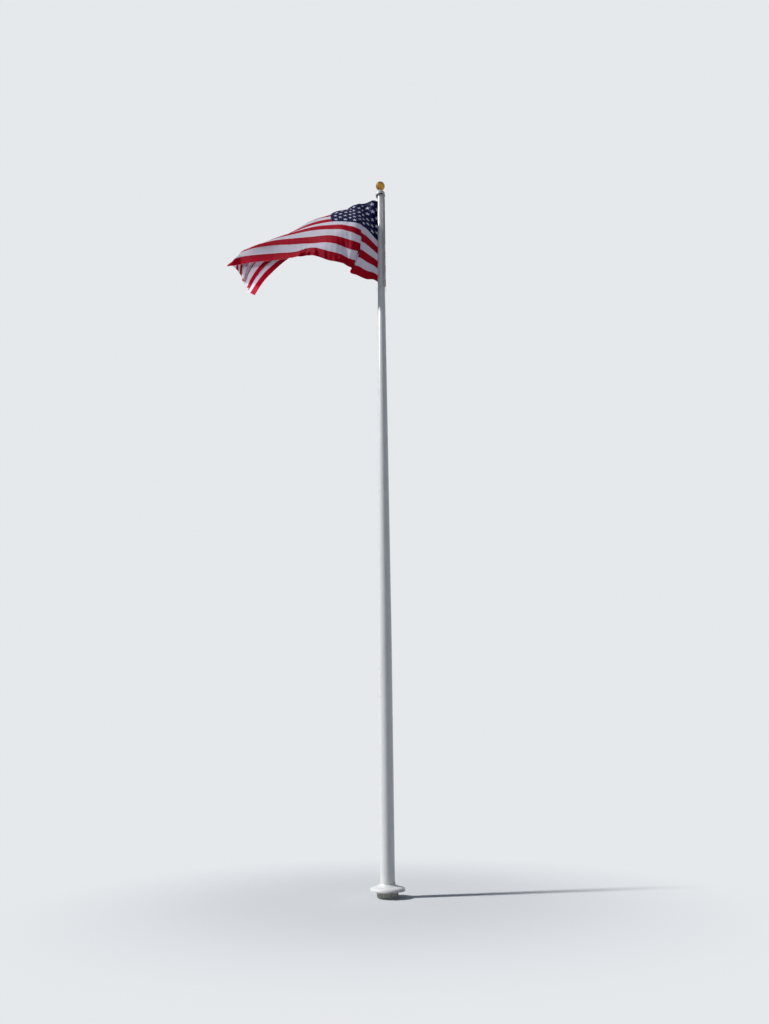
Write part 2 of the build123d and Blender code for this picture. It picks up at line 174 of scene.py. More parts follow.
def useGroup(tree, group, **given):
    # an underscore stands for the space in a group's label
    made = addNode(tree, "Group")
    made.node_tree = group
    for label, value in given.items():
        feed(tree, value, made.inputs[label.replace("_", " ")])
    return made.outputs


# camera, light and floor

camera = {"place": (0, -9.5, 1.39), "pitch": 20.2, "yaw": 0.065, "roll": -0.63,
          "lens": 24.96, "reach": 200}


def addCamera():
    pitch, yaw, roll = (math.radians(camera[k]) for k in ("pitch", "yaw", "roll"))
    flat = math.cos(pitch)
    ahead = Vector((math.sin(yaw) * flat, math.cos(yaw) * flat, math.sin(pitch)))
    level = Vector((math.cos(yaw), -math.sin(yaw), 0))
    upright = level.cross(ahead)
    right = level * math.cos(roll) + upright * math.sin(roll)
    up = upright * math.cos(roll) - level * math.sin(roll)
    bpy.ops.object.camera_add()
    made = bpy.context.object
    made.data.lens = camera["lens"]
    made.data.clip_end = camera["reach"]
    turn = Matrix((right, up, -ahead)).transposed()
    made.matrix_world = Matrix.Translation(camera["place"]) @ turn.to_4x4()
    scene.camera = made


light = {
    "sun": 3.2, "sunColor": (1, 0.98, 0.955), "sunTurn": -81, "sunRise": 40, "sunSize": 4,
    "sky": 0.17, "skyColor": (0.70, 0.83, 1.0), "backdrop": (0.79, 0.81, 0.835),
    "overhead": 0.55, "fadeLow": 0.05, "fadeHigh": 0.7,
    "fill": 1900, "fillPlace": (-3.5, -5.5, 6.0), "fillAim": (-2.12, 0.33, 9.04),
    "fillCone": 9, "fillSize": 0.3,
}


def addLamps():
    bpy.ops.object.light_add(type="SUN")
    sun = bpy.context.object
    sun.data.energy = light["sun"]
    sun.data.color = light["sunColor"]
    sun.data.angle = math.radians(light["sunSize"])
    down, turn = math.radians(90 - light["sunRise"]), math.radians(light["sunTurn"])
    sun.rotation_euler = (down, 0, turn)
    # a narrow lamp from below that opens up the inside of the hanging corner
    bpy.ops.object.light_add(type="SPOT", location=light["fillPlace"])
    fill = bpy.context.object
    fill.data.energy = light["fill"]
    fill.data.spot_size = math.radians(light["fillCone"])
    fill.data.spot_blend = 1
    fill.data.shadow_soft_size = light["fillSize"]
    aim = Vector(light["fillAim"]) - Vector(light["fillPlace"])
    fill.rotation_euler = aim.to_track_quat("-Z", "Y").to_euler()


def addWorld():
    # the camera sees a pale backdrop, and a glossy surface sees it too, darker overhead
    world = bpy.data.worlds.new("studio")
    scene.world = world
    world.use_nodes = True
    tree = world.node_tree
    tree.nodes.clear()
    pale = (*light["backdrop"], 1)
    sky = addNode(tree, "Background", Color=(*light["skyColor"], 1), Strength=light["sky"])
    glossy = addNode(tree, "Background", Color=pale)
    backdrop = addNode(tree, "Background", Color=pale)
    rise = splitVector(tree, addNode(tree, "TexCoord").outputs["Generated"])["Z"]
    fade = mapRange(tree, rise, light["fadeLow"], light["fadeHigh"], 1, light["overhead"])
    link(tree, fade, glossy.inputs["Strength"])
    path = addNode(tree, "LightPath").outputs
    around = shaderMix(tree, path["Is Glossy Ray"], sky.outputs[0], glossy.outputs[0])
    shown = larger(tree, path["Is Camera Ray"], path["Is Transmission Ray"])
    whole = shaderMix(tree, shown, around, backdrop.outputs[0])
    link(tree, whole, addNode(tree, "OutputWorld").inputs["Surface"])


floorSize = {"radius": 60, "near": 0.8, "far": 4.5,
             "color": (0.796, 0.821, 0.851), "bounce": (0.35, 0.37, 0.39)}


def addFloor():
    # the floor keeps the shadow near the pole, fades to the backdrop further out, and throws
    # less light back at the object than the camera sees on it
    bpy.ops.mesh.primitive_circle_add(vertices=96, radius=floorSize["radius"], fill_type="NGON")
    ground = bpy.context.object
    ground.name = "floor"
    material = bpy.data.materials.new("paleFloor")
    material.use_nodes = True
    tree = material.node_tree
    tree.nodes.clear()
    path = addNode(tree, "LightPath").outputs
    shown = larger(tree, path["Is Camera Ray"], path["Is Glossy Ray"])
    shown = larger(tree, shown, path["Is Transmission Ray"])
    matt = addNode(tree, "BsdfDiffuse")
    tone = colorMix(tree, shown, floorSize["bounce"], floorSize["color"])
    link(tree, tone, matt.inputs["Color"])
    beyond = addNode(tree, "Emission", Color=(*light["backdrop"], 1))
    distance = addNode(tree, "VectorMath")
    distance.operation = "LENGTH"
    link(tree, addNode(tree, "TexCoord").outputs["Object"], distance.inputs[0])
    near, far = floorSize["near"], floorSize["far"]
    fade = mapRange(tree, distance.outputs["Value"], near, far, smooth=True)
    whole = shaderMix(tree, times(tree, fade, shown), matt.outputs[0], beyond.outputs[0])
    link(tree, whole, addNode(tree, "OutputMaterial").inputs["Surface"])
    ground.data.materials.append(material)


deselectAll()
addCamera()
addLamps()
addWorld()
addFloor()
print("camera, light and floor made")


# materials: a noise is given as scale, detail and roughness, a cut as from and to

mottleLook = {"cloud": (4, 0.6), "cloudCut": (0.3, 0.7), "grain": (2, 0.5)}


def makeMottle():
    # cloudy tone and a finer grain, for paint, metal and concrete
    group, takes, gives = newGroup(
        "mottle",
        [("Vector", "Vector", None), ("Cloud Size", "Float", 8.0), ("Grain Size", "Float", 300.0)],
        [("Cloud", "Float"), ("Grain", "Float")],
    )
    cloud = noiseTexture(group, takes["Vector"], takes["Cloud Size"], *mottleLook["cloud"])
    link(group, mapRange(group, cloud, *mottleLook["cloudCut"]), gives["Cloud"])
    grain = noiseTexture(group, takes["Vector"], takes["Grain Size"], *mottleLook["grain"])
    link(group, grain, gives["Grain"])
    return group


splashLook = {"specks": (90.0, 4, 0.7), "speckCut": (0.5, 0.68),
              "veil": (9.0, 3, 0.6), "veilCut": (0.35, 0.75), "veilShare": 0.5}


def makeSplash():
    # rain-splashed soil that thins out with height above the ground
    group, takes, gives = newGroup(
        "soilSplash",
        [("Vector", "Vector", None), ("Low", "Float", 0.1), ("High", "Float", 0.6)],
        [("Mask", "Float")],
    )
    rise = splitVector(group, takes["Vector"])["Z"]
    height = mapRange(group, rise, takes["Low"], takes["High"], 1.0, 0.0)
    specks = noiseTexture(group, takes["Vector"], *splashLook["specks"])
    specks = mapRange(group, specks, *splashLook["speckCut"])
    veil = noiseTexture(group, takes["Vector"], *splashLook["veil"])
    veil = times(group, mapRange(group, veil, *splashLook["veilCut"]), splashLook["veilShare"])
    spread = larger(group, specks, veil)
    link(group, calc(group, "MULTIPLY", spread, height, clamp=True), gives["Mask"])
    return group


mottle = makeMottle()
soilSplash = makeSplash()


def newMaterial(name):
    material = bpy.data.materials.new(name)
    material.use_nodes = True
    tree = material.node_tree
    return material, tree, tree.nodes["Principled BSDF"]


def objectPlace(tree):
    return addNode(tree, "TexCoord").outputs["Object"]


def addBump(tree, shader, height, strength, distance):
    bump = addNode(tree, "Bump", Strength=strength, Distance=distance)
    link(tree, height, bump.inputs["Height"])
    link(tree, bump.outputs[0], shader.inputs["Normal"])


# color and second tone, roughness from and to, size of clouds and grain, bump depth in mm,
# and between which heights the soil splash fades
finishes = {
    # the concrete's colour and tone are lifted far above real concrete: painted light that stands
    # in for the light the ground throws up into the collar's shadow
    "footing_concrete": dict(color=(0.88, 0.84, 0.76), tone=(0.54, 0.50, 0.43),
        rough=(0.85, 0.98), cloud=34, grain=170, bump=2.5),
    "sleeve_zinc": dict(color=(0.50, 0.51, 0.52), tone=(0.34, 0.35, 0.36),
        rough=(0.38, 0.6), metal=1, cloud=40, grain=400, bump=0.05),
    "packing_grout": dict(color=(0.42, 0.39, 0.34), tone=(0.28, 0.25, 0.21),
        rough=(0.85, 0.98), cloud=30, grain=500, bump=0.8),
    "collar_paint": dict(color=(0.90, 0.915, 0.93), tone=(0.80, 0.81, 0.82),
        rough=(0.25, 0.42), cloud=7, grain=260, bump=0.04,
        splash=(0.075, 0.13)),
    "sealant": dict(color=(0.78, 0.77, 0.73), tone=(0.60, 0.58, 0.53),
        rough=(0.45, 0.6), cloud=60, grain=500, bump=0.1),
    "door_paint": dict(color=(0.82, 0.82, 0.81), tone=(0.70, 0.70, 0.68),
        rough=(0.32, 0.48), cloud=14, grain=420, bump=0.08),
    "lock_steel": dict(color=(0.62, 0.62, 0.61), tone=(0.46, 0.46, 0.45),
        rough=(0.25, 0.42), metal=1, cloud=90, grain=900, bump=0.02),
    "truck_casting": dict(color=(0.55, 0.56, 0.57), tone=(0.36, 0.36, 0.37),
        rough=(0.42, 0.62), metal=1, cloud=40, grain=900, bump=0.15),
    "cap_paint": dict(color=(0.86, 0.86, 0.85), tone=(0.66, 0.65, 0.61),
        rough=(0.32, 0.5), cloud=22, grain=420, bump=0.06),
    "bearing_bronze": dict(color=(0.52, 0.35, 0.16), tone=(0.30, 0.19, 0.09),
        rough=(0.3, 0.5), metal=1, cloud=90, grain=900, bump=0.03),
    "sheave_nylon": dict(color=(0.05, 0.05, 0.055), tone=(0.09, 0.09, 0.09),
        rough=(0.42, 0.6), cloud=60, grain=900, bump=0.03),
    "bolt_steel": dict(color=(0.58, 0.58, 0.57), tone=(0.40, 0.40, 0.39),
        rough=(0.24, 0.42), metal=1, cloud=90, grain=900, bump=0.02),
    "snap_metal": dict(color=(0.66, 0.65, 0.62), tone=(0.44, 0.42, 0.38),
        rough=(0.16, 0.35), metal=1, cloud=120, grain=900, bump=0.01),
    "grommet_brass": dict(color=(0.72, 0.50, 0.20), tone=(0.42, 0.28, 0.12),
        rough=(0.22, 0.42), metal=1, cloud=160, grain=900, bump=0.02),
    "loop_coating": dict(color=(0.80, 0.80, 0.78), tone=(0.62, 0.61, 0.57),
        rough=(0.35, 0.5), cloud=50, grain=700, bump=0.02),
    "header_canvas": dict(color=(0.74, 0.73, 0.70), tone=(0.60, 0.58, 0.54),
        rough=(0.8, 0.95), cloud=12, grain=1500, bump=0.1),
    "halyard_rope": dict(color=(0.76, 0.75, 0.71), tone=(0.55, 0.53, 0.48),
        rough=(0.75, 0.92), cloud=60, grain=1200, bump=0.3),
}
finishLook = {"toneShare": 0.8, "soil": (0.36, 0.29, 0.21), "soilShare": 0.5, "bump": 0.6}


def makeFinish(name, color, tone, rough, cloud, grain, bump, metal=0, splash=None):
    material, tree, shader = newMaterial(name)
    place = objectPlace(tree)
    pattern = useGroup(tree, mottle, Vector=place, Cloud_Size=cloud, Grain_Size=grain)
    shown = colorMix(tree, times(tree, pattern["Cloud"], finishLook["toneShare"]), color, tone)
    if splash:
        low, high = splash
        mask = useGroup(tree, soilSplash, Vector=place, Low=low, High=high)["Mask"]
        mask = times(tree, mask, finishLook["soilShare"])
        shown = colorMix(tree, mask, shown, finishLook["soil"])
    link(tree, shown, shader.inputs["Base Color"])
    link(tree, mapRange(tree, pattern["Cloud"], 0.0, 1.0, *rough), shader.inputs["Roughness"])
    shader.inputs["Metallic"].default_value = metal
    addBump(tree, shader, pattern["Grain"], finishLook["bump"], bump / 1000)
    return material


materials = {name: makeFinish(name, **given) for name, given in finishes.items()}

gelcoat = {
    "color": (0.90, 0.91, 0.925), "tone": (0.83, 0.84, 0.85), "toneShare": 0.6, "cloud": 3.0,
    "streak": (0.60, 0.58, 0.53), "streakShare": 0.35, "streakStretch": (30, 30, 1.4),
    "streakNoise": (1.0, 4, 0.65), "streakCut": (0.52, 0.8),
    "soil": (0.42, 0.35, 0.26), "soilShare": 0.3, "soilLow": 0.12, "soilHigh": 0.40,
    "rough": (0.16, 0.3), "coat": 0.4, "coatRough": 0.08,
    "bands": 6, "bandBend": 1.5, "bandBump": (0.25, 0.0006),
}


def makeGelcoat():
    # gloss white gelcoat: faint winding bands under it, dull streaks, soil splash at the foot
    material, tree, shader = newMaterial("shaft_gelcoat")
    place = objectPlace(tree)
    cloud = useGroup(tree, mottle, Vector=place, Cloud_Size=gelcoat["cloud"])["Cloud"]
    toned = times(tree, cloud, gelcoat["toneShare"])
    shown = colorMix(tree, toned, gelcoat["color"], gelcoat["tone"])
    stretch = addNode(tree, "Mapping", Scale=gelcoat["streakStretch"])
    link(tree, place, stretch.inputs[0])
    streaks = noiseTexture(tree, stretch.outputs[0], *gelcoat["streakNoise"])
    streaks = times(tree, mapRange(tree, streaks, *gelcoat["streakCut"]), gelcoat["streakShare"])
    shown = colorMix(tree, streaks, shown, gelcoat["streak"])
    low, high = gelcoat["soilLow"], gelcoat["soilHigh"]
    mask = useGroup(tree, soilSplash, Vector=place, Low=low, High=high)["Mask"]
    shown = colorMix(tree, times(tree, mask, gelcoat["soilShare"]), shown, gelcoat["soil"])
    link(tree, shown, shader.inputs["Base Color"])
    link(tree, mapRange(tree, cloud, 0.0, 1.0, *gelcoat["rough"]), shader.inputs["Roughness"])
    bands = waveBands(tree, place, "Z", gelcoat["bands"], gelcoat["bandBend"])
    addBump(tree, shader, bands, *gelcoat["bandBump"])
    shader.inputs["Coat Weight"].default_value = gelcoat["coat"]
    shader.inputs["Coat Roughness"].default_value = gelcoat["coatRough"]
    return material


# the gold's colour is darker than the anodising itself: painted reflection, standing in for the
# dark ground the ball mirrors
gold = {"color": (0.46, 0.25, 0.05), "tone": (0.24, 0.12, 0.022), "toneShare": 0.6,
        "cloud": 26.0, "rough": (0.12, 0.26), "rings": 160, "ringBump": (0.15, 0.00004)}


def makeGold():
    # gold anodised ball: spinning rings, a little tarnish
    material, tree, shader = newMaterial("gold_anodised")
    place = objectPlace(tree)
    cloud = useGroup(tree, mottle, Vector=place, Cloud_Size=gold["cloud"])["Cloud"]
    shown = colorMix(tree, times(tree, cloud, gold["toneShare"]), gold["color"], gold["tone"])
    link(tree, shown, shader.inputs["Base Color"])
    link(tree, mapRange(tree, cloud, 0.0, 1.0, *gold["rough"]), shader.inputs["Roughness"])
    shader.inputs["Metallic"].default_value = 1
    addBump(tree, shader, waveBands(tree, place, "Z", gold["rings"]), *gold["ringBump"])
    return material


materials["shaft_gelcoat"] = makeGelcoat()
materials["gold_anodised"] = makeGold()
print(len(materials), "finishes made")


# flag cloth

flag = {
    "hoist": 1.829, "fly": 3.475, "header": 0.038, "top": 10.56, "thickness": 0.0012,
    "headerRadius": 0.074, "headerEnd": 58.58, "leaving": 235, "wrapSteps": 4, "shaftClear": 0.066,
    "nearLimit": (-0.36, 0.09), "farLimit": (0.40, 0.11),
    "cantonFly": 1.390, "stripes": 13, "cantonStripes": 7, "starWidth": 0.0616,
    "cellsAcross": 12, "cellsDown": 10,
    # the flag's white carries a lavender tint of painted shade, the bluish cast of white cloth in
    # the shade of a blue sky
    "navy": (0.010, 0.019, 0.105), "red": (0.58, 0.003, 0.036), "shadeTintedWhite": (0.82, 0.80, 0.88),
}
clothLength = flag["fly"] - flag["header"]

# where the cloth is measured down the hoist, in shares of it
hoistShares = [0, 0.153, 0.306, 0.539, 0.694, 0.847, 0.924, 1]
leavingDrops = [0.005, 0.143, 0.285, 0.455, 0.606, 0.766, 0.842, 0.911]
# distance along the cloth from the header, then points from the top edge to the lower edge:
# away from the shaft and back from its axis in thousandths of the fly, drop in those of the hoist
stations = [
    (0.5, (71, 23, 3), (71, -6, 143), (70, -35, 280), (69, -69, 455),
     (69, -72, 639), (70, -52, 797), (70, -37, 864), (71, -23, 936)),
    (0.86, (136, 35, 13), (134, -9, 144), (131, -52, 270), (126, -104, 451),
     (123, -121, 597), (121, -104, 765), (126, -89, 854), (135, -72, 938)),
    (1.1, (172, 69, 7), (174, 17, 91), (180, -35, 225), (176, -92, 418),
     (174, -115, 546), (169, -109, 725), (169, -104, 812), (173, -95, 882)),
    (1.352, (213, 98, 93), (220, 46, 67), (232, -12, 197), (224, -63, 366),
     (221, -98, 512), (224, -104, 672), (229, -98, 759), (233, -86, 834)),
    (1.8, (294, 121, 265), (312, 95, 166), (332, 40, 180), (327, -14, 321),
     (325, -46, 432), (320, -69, 622), (320, -69, 663), (324, -63, 735)),
    (2.2, (376, 115, 377), (403, 115, 272), (425, 86, 231), (426, 29, 323),
     (421, 0, 397), (414, -35, 569), (411, -40, 670), (415, -40, 722)),
    (2.6, (461, 104, 503), (494, 115, 432), (519, 109, 366), (532, 75, 347),
     (527, 37, 396), (517, 0, 513), (510, -9, 633), (507, -14, 715)),
    (2.95, (526, 86, 676), (570, 106, 587), (603, 115, 499), (623, 95, 439),
     (630, 63, 455), (624, 29, 507), (614, 14, 604), (604, 0, 715)),
    (3.22, (571, 75, 819), (616, 101, 741), (646, 118, 641), (666, 109, 575),
     (681, 81, 540), (689, 49, 552), (686, 29, 604), (669, 9, 725)),
    (3.437, (606, 69, 976), (644, 98, 877), (664, 121, 782), (676, 121, 726),
     (685, 101, 695), (697, 63, 690), (715, 29, 666), (728, 6, 741)),
]


def smoothRows(knots, values, wanted):
    # a smooth curve through the values at uneven knots
    slopes = np.gradient(values, knots, axis=0)
    k = np.clip(np.searchsorted(knots, wanted, side="right") - 1, 0, len(knots) - 2)
    gap = (knots[k + 1] - knots[k])[:, None, None]
    t = (wanted - knots[k])[:, None, None] / gap
    square, cube = t ** 2, t ** 3
    curve = (2 * cube - 3 * square + 1) * values[k] + (cube - 2 * square + t) * gap * slopes[k]
    curve = curve + (3 * square - 2 * cube) * values[k + 1]
    return curve + (cube - square) * gap * slopes[k + 1]


def smoothSheet(points, along, down, newAlong, newDown):
    grid = smoothRows(along, points, newAlong)
    return np.swapaxes(smoothRows(down, np.swapaxes(grid, 0, 1), newDown), 0, 1)


def clothNet():
    # the given points: first round the shaft from the header, then the free cloth
    shares = np.array(hoistShares)
    first, last = math.radians(flag["headerEnd"]), math.radians(flag["leaving"])
    radius, steps = flag["headerRadius"], flag["wrapSteps"]
    rows, along = [], []
    for step in range(steps + 1):
        azimuth = first + (last - first) * step / steps
        drop = shares + (np.array(leavingDrops) - shares) * step / steps
        x = np.full(len(shares), radius * math.sin(azimuth))
        y = np.full(len(shares), -radius * math.cos(azimuth))
        rows.append(np.stack([x, y, flag["top"] - drop * flag["hoist"]], -1))
        along.append(radius * (azimuth - first))
    for distance, *points in stations:
        away, back, drop = np.array(points).T / 1000
        x, y = -away * flag["fly"], back * flag["fly"]
        rows.append(np.stack([x, y, flag["top"] - drop * flag["hoist"]], -1))
        along.append(distance)
    return np.array(rows), np.array(along), shares * flag["hoist"]


def blurred(points, rounds):
    soft = points.copy()
    for _ in range(rounds):
        half = soft.copy()
        half[1:-1] = 0.25 * soft[:-2] + 0.5 * soft[1:-1] + 0.25 * soft[2:]
        soft = half.copy()
        soft[:, 1:-1] = 0.25 * half[:, :-2] + 0.5 * half[:, 1:-1] + 0.25 * half[:, 2:]
    return soft


tiny = 1e-6  # keeps a length from being zero


def pull(points, first, second, rest, push, draw):
    # moves pairs of points towards their length: push opens a short pair, draw closes a long one
    gap = points[second] - points[first]
    length = np.maximum(np.linalg.norm(gap, axis=-1, keepdims=True), tiny)
    share = 1 - rest / length
    share = np.where(share > 0, share * draw, share * push)
    points[first] += 0.5 * gap * share
    points[second] -= 0.5 * gap * share


# how the cloth is drawn towards its cut: grid and rounds of each step, the start of the cloth
# that stays put, what a stretched or a short pair gives, and the least length of wider pairs
hang = {
    "first": (61, 33, 60), "finer": ((121, 65, 100), (241, 129, 40)), "lead": 0.1,
    "draw": 0.9, "diagonalDraw": 0.5, "diagonalPush": 0.5, "wider": ((2, 0.95), (4, 0.9)),
    "loose": {"blur": 6, "deep": 0.1, "flat": 0.5, "push": 0.02, "bend": 0.3},
    "tight": {"blur": 3, "deep": 0.2, "flat": 0.3, "push": 0.02, "bend": 0.1},
}


def settle(points, along, down, shape, rounds, give):
    # draws the cloth towards its cut lengths while it keeps to the given shape
    every = slice(None)
    diagonal = math.hypot(along, down)
    diagonalPush = give["push"] * hang["diagonalPush"]
    seen = shape - np.array(camera["place"])
    seen /= np.linalg.norm(seen, axis=-1, keepdims=True)
    lead = int(hang["lead"] / along) + 1
    for _ in range(rounds):
        soft = blurred(points, give["blur"])
        deep = ((shape - soft) * seen).sum(-1, keepdims=True) * seen
        near = shape - points
        flat = near - (near * seen).sum(-1, keepdims=True) * seen
        points += give["deep"] * deep + give["flat"] * flat
        for s in (0, 1):
            n, m = (points.shape[0] - s) // 2, (points.shape[1] - s) // 2
            oddU, evenU = slice(s, s + 2 * n, 2), slice(s + 1, s + 2 * n, 2)
            pull(points, (oddU, every), (evenU, every), along, give["push"], hang["draw"])
            oddV, evenV = slice(s, s + 2 * m, 2), slice(s + 1, s + 2 * m, 2)
            pull(points, (every, oddV), (every, evenV), down, give["push"], hang["draw"])
            for a, b in ((slice(0, -1), slice(1, None)), (slice(1, None), slice(0, -1))):
                first, second = (oddU, a), (evenU, b)
                pull(points, first, second, diagonal, diagonalPush, hang["diagonalDraw"])
        for step, share in hang["wider"]:
            least = step * along * share, step * down * share
            for s in range(2 * step):
                index = np.arange(s, points.shape[0] - step, 2 * step)
                pull(points, (index, every), (index + step, every), least[0], give["bend"], 0)
                index = np.arange(s, points.shape[1] - step, 2 * step)
                pull(points, (every, index), (every, index + step), least[1], give["bend"], 0)
        points[:lead] = shape[:lead]
        radius = np.maximum(np.hypot(points[..., 0], points[..., 1]), tiny)
        points[..., :2] *= np.maximum(1, flag["shaftClear"] / radius)[..., None]
    return points


# creases where the cloth doubles over: the line of each (distance along, distance down),
# which way it runs, half its width, and how far the near side is drawn over it
pleats = [
    {"line": [(0.64, 0.90), (0.68, 1.27), (0.75, 1.50), (0.82, 1.69), (0.89, 1.83)], "runs": "down",
     "half": 0.055, "shift": (-0.048, -0.035, -0.040), "full": 1.60},
    {"line": [(2.20, 0.32), (2.60, 0.31), (3.00, 0.30), (3.44, 0.29)], "runs": "along",
     "half": 0.060, "shift": (-0.050, 0.030, 0.020)},
    {"line": [(2.70, 0.90), (3.00, 0.92), (3.20, 0.93), (3.44, 0.95)], "runs": "along",
     "half": 0.045, "shift": (-0.030, 0.030, 0.020)},
]


peak = 1.65  # brings the top of a fold's curve to one


def foldPleats(points, u, v):
    for pleat in pleats:
        a, b = np.array(pleat["line"]).T
        if pleat["runs"] == "down":
            beside = u[:, None] - np.interp(v, b, a)[None, :]
            grow = np.clip((v - b[0]) / (pleat["full"] - b[0]), 0, 1)[None, :]
        else:
            beside = v[None, :] - np.interp(u, a, b)[:, None]
            grow = np.clip((u - a[0]) / (a[1] - a[0]), 0, 1)[:, None]
        t = beside / pleat["half"]
        fold = -peak * t * np.exp(-0.5 * t * t) * grow * grow * (3 - 2 * grow)
        points += fold[..., None] * np.array(pleat["shift"])
    return points


def keptIn(points):
    # slides the nearest and farthest cloth along the line of sight, so that it keeps to its space
    eye = np.array(camera["place"])
    depth = points[..., 1]
    (near, nearRoom), (far, farRoom) = flag["nearLimit"], flag["farLimit"]
    held = np.where(depth > far, far + farRoom * np.tanh((depth - far) / farRoom), depth)
    held = np.where(depth < near, near + nearRoom * np.tanh((depth - near) / nearRoom), held)
    return eye + (points - eye) * ((held - eye[1]) / (depth - eye[1]))[..., None]


def hangCloth():
    net, along, down = clothNet()
    n, m, rounds = hang["first"]
    u, v = np.linspace(0, clothLength, n), np.linspace(0, flag["hoist"], m)
    shape = smoothSheet(net, along, down, u, v)
    points = settle(shape.copy(), u[1], v[1], shape, rounds, hang["loose"])
    for step in hang["finer"]:
        n, m, rounds = step
        finerU, finerV = np.linspace(0, clothLength, n), np.linspace(0, flag["hoist"], m)
        points = smoothSheet(points, u, v, finerU, finerV)
        u, v = finerU, finerV
        if step == hang["finer"][-1]:
            points = foldPleats(points, u, v)
        shape = points.copy()
        points = settle(points, u[1], v[1], shape, rounds, hang["tight"])
    return keptIn(points), u, v


# seams and hems: half widths of a folded seam at its edge and at its foot, widths of the hems,
# how far other grid lines keep off, and how far each stands out
sewn = {
    "rows": 92, "columns": 232, "rim": 0.0012,
    "seam": 0.005, "seamFoot": 0.0062, "seamClear": 0.009, "seamLift": 0.0006,
    "hem": 0.012, "hemFoot": 0.0135, "hemClear": 0.016, "hemLift": 0.0007,
    "flyHem": 0.025, "flyFoot": 0.0262, "flyClear": 0.04, "flyLift": 0.0008,
}
seamLines = [flag["hoist"] * k / flag["stripes"] for k in range(1, flag["stripes"])]


def seamPair(line):
    edges = (-sewn["seamFoot"], -sewn["seam"], sewn["seam"], sewn["seamFoot"])
    return [line + edge for edge in edges]


def clothLines():
    # grid lines: close together at each seam and hem, so that they stand proud
    hoist, clear = flag["hoist"], sewn["seamClear"]
    down = np.round(np.linspace(0, hoist, sewn["rows"]), 4)
    down = [y for y in down if all(abs(y - line) > clear for line in seamLines)]
    down = [y for y in down if sewn["hemClear"] < y < hoist - sewn["hemClear"]]
    for inset in (0, sewn["rim"], sewn["hem"], sewn["hemFoot"]):
        down += [inset, hoist - inset]
    for line in seamLines:
        down += seamPair(line)
    across = np.round(np.linspace(0, clothLength - sewn["flyClear"], sewn["columns"]), 4)
    across = [x for x in across if abs(x - flag["cantonFly"]) > clear]
    across += seamPair(flag["cantonFly"])
    for inset in (0, sewn["rim"], sewn["flyHem"], sewn["flyFoot"]):
        across.append(clothLength - inset)
    return np.array(sorted(across)), np.array(sorted(down))


def seamHeight(u, v):
    # how far the folded seams and hems stand out of the cloth on each side
    lift = np.zeros((len(u), len(v)))
    seamEdge = (sewn["seam"] + sewn["seamFoot"]) / 2
    hemEdge = (sewn["hem"] + sewn["hemFoot"]) / 2
    flyEdge = (sewn["flyHem"] + sewn["flyFoot"]) / 2
    for k, line in enumerate(seamLines, 1):
        start = flag["cantonFly"] if k < flag["cantonStripes"] else -1
        lift[np.ix_(u > start, np.abs(v - line) < seamEdge)] = sewn["seamLift"]
    besideCanton = np.abs(u - flag["cantonFly"]) < seamEdge
    lowest = seamLines[flag["cantonStripes"] - 1] + sewn["seam"]
    lift[np.ix_(besideCanton, v < lowest)] = sewn["seamLift"]
    lift[:, (v < hemEdge) | (v > flag["hoist"] - hemEdge)] = sewn["hemLift"]
    lift[u > clothLength - flyEdge, :] = sewn["flyLift"]
    return lift


def makeCloth():
    points, fineU, fineV = hangCloth()
    u, v = clothLines()
    sheet = smoothSheet(points, fineU, fineV, u, v)
    n, m = len(u), len(v)
    slopeU = np.gradient(sheet, u, axis=0)
    slopeV = np.gradient(sheet, v, axis=1)
    normal = np.cross(slopeV, slopeU)
    normal /= np.linalg.norm(normal, axis=-1, keepdims=True)
    half = (flag["thickness"] / 2 + seamHeight(u, v))[..., None]
    front, back = sheet + normal * half, sheet - normal * half
    verts = np.concatenate([front.reshape(-1, 3), back.reshape(-1, 3)])
    index = np.arange(n * m).reshape(n, m)
    quads = np.stack([index[:-1, :-1], index[:-1, 1:], index[1:, 1:], index[1:, :-1]], -1)
    quads = quads.reshape(-1, 4)
    faces = np.concatenate([quads, quads[:, ::-1] + n * m])
    rim = []
    for edge in (index[:, 0], index[-1, :], index[::-1, -1], index[0, ::-1]):
        rim.append(np.stack([edge[:-1], edge[1:], edge[1:] + n * m, edge[:-1] + n * m], -1))
    faces = np.concatenate([faces] + rim)
    mesh = bpy.data.meshes.new("flagCloth")
    mesh.from_pydata(verts.tolist(), [], faces.tolist())
    mesh.polygons.foreach_set("use_smooth", np.ones(len(faces), bool))
    flat = np.stack(np.meshgrid(u, flag["hoist"] - v, indexing="ij"), -1).reshape(-1, 2)
    loops = np.empty(len(mesh.loops), int)
    mesh.loops.foreach_get("vertex_index", loops)
    layer = mesh.uv_layers.new(name="cut")
    layer.data.foreach_set("uv", flat[loops % (n * m)].astype(np.float32).ravel())
    mesh.update()
    mesh.validate()
    made = bpy.data.objects.new("flagCloth", mesh)
    scene.collection.objects.link(made)
    sides = np.cross(sheet[1:, :-1] - sheet[:-1, :-1], sheet[:-1, 1:] - sheet[:-1, :-1])
    area = float(np.linalg.norm(sides, axis=-1).sum())
    print("cloth hung: area", round(area, 3), "of", round(clothLength * flag["hoist"], 3))
    return made


def cellPlace(tree, value, shift):
    # where a point lies in its star's cell, from -1 to 1
    return minus(tree, calc(tree, "FLOORED_MODULO", add(tree, value, shift), 2.0), 1.0)


